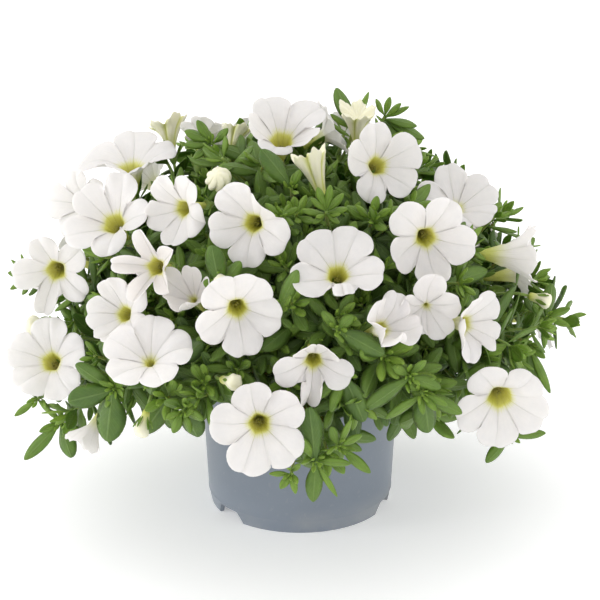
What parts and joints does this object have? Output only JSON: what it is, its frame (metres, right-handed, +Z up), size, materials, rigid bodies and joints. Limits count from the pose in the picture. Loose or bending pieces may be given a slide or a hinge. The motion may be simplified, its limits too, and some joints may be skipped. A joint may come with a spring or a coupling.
{
  "type": "potted calibrachoa",
  "caption": "Mounded bedding plant with white five-lobed trumpet flowers and narrow green leaves, growing in a tapered round plastic nursery pot.",
  "frame": {"origin": "centre of the pot's base, on the ground", "axes": "+Z up, the plant's front looks along -Y, +X to the right of someone who faces the front"},
  "size_m": [0.2826, 0.2817, 0.2132],
  "materials": {
    "pot_plastic": "matt grey-blue injection-moulded polypropylene",
    "potting_soil": "rough dark peat and bark",
    "foliage": "soft green leaf with fine hairs and a low sheen",
    "petals": "thin matt white petal with a yellow-green throat",
    "pale_buds": "pleated cream petal, still rolled in"
  },
  "bodies": {
    "root": {"pot": "pot_plastic", "soil": "potting_soil", "leafy_stem_01": "foliage", "leafy_stem_02": "foliage", "leafy_stem_03": "foliage", "leafy_stem_04": "foliage", "leafy_stem_05": "foliage", "leafy_stem_06": "foliage", "leafy_stem_07": "foliage", "leafy_stem_08": "foliage", "leafy_stem_09": "foliage", "leafy_stem_10": "foliage", "leafy_stem_11": "foliage", "flower_01": "petals", "flower_02": "petals", "flower_03": "petals", "flower_04": "petals", "flower_05": "petals", "flower_06": "petals", "flower_07": "petals", "flower_08": "petals", "flower_09": "petals", "flower_10": "petals", "flower_11": "petals", "flower_12": "petals", "flower_13": "petals", "flower_14": "petals", "flower_15": "petals", "flower_16": "petals", "flower_17": "petals", "flower_18": "petals", "flower_19": "petals", "flower_20": "petals", "flower_21": "petals", "flower_22": "petals", "flower_23": "petals", "flower_24": "petals", "flower_25": "petals", "flower_26": "petals", "flower_27": "petals", "flower_28": "petals", "flower_29": "petals", "flower_30": "petals", "flower_31": "petals", "flower_32": "petals", "flower_33": "petals", "flower_34": "petals", "flower_35": "petals", "flower_36": "petals", "flower_37": "petals", "flower_38": "petals", "flower_39": "petals", "flower_40": "petals", "flower_41": "petals", "flower_42": "petals", "opening_bud_01": "pale_buds", "opening_bud_02": "pale_buds", "opening_bud_03": "pale_buds", "opening_bud_04": "pale_buds", "opening_bud_05": "pale_buds"}
  },
  "joints": []
}
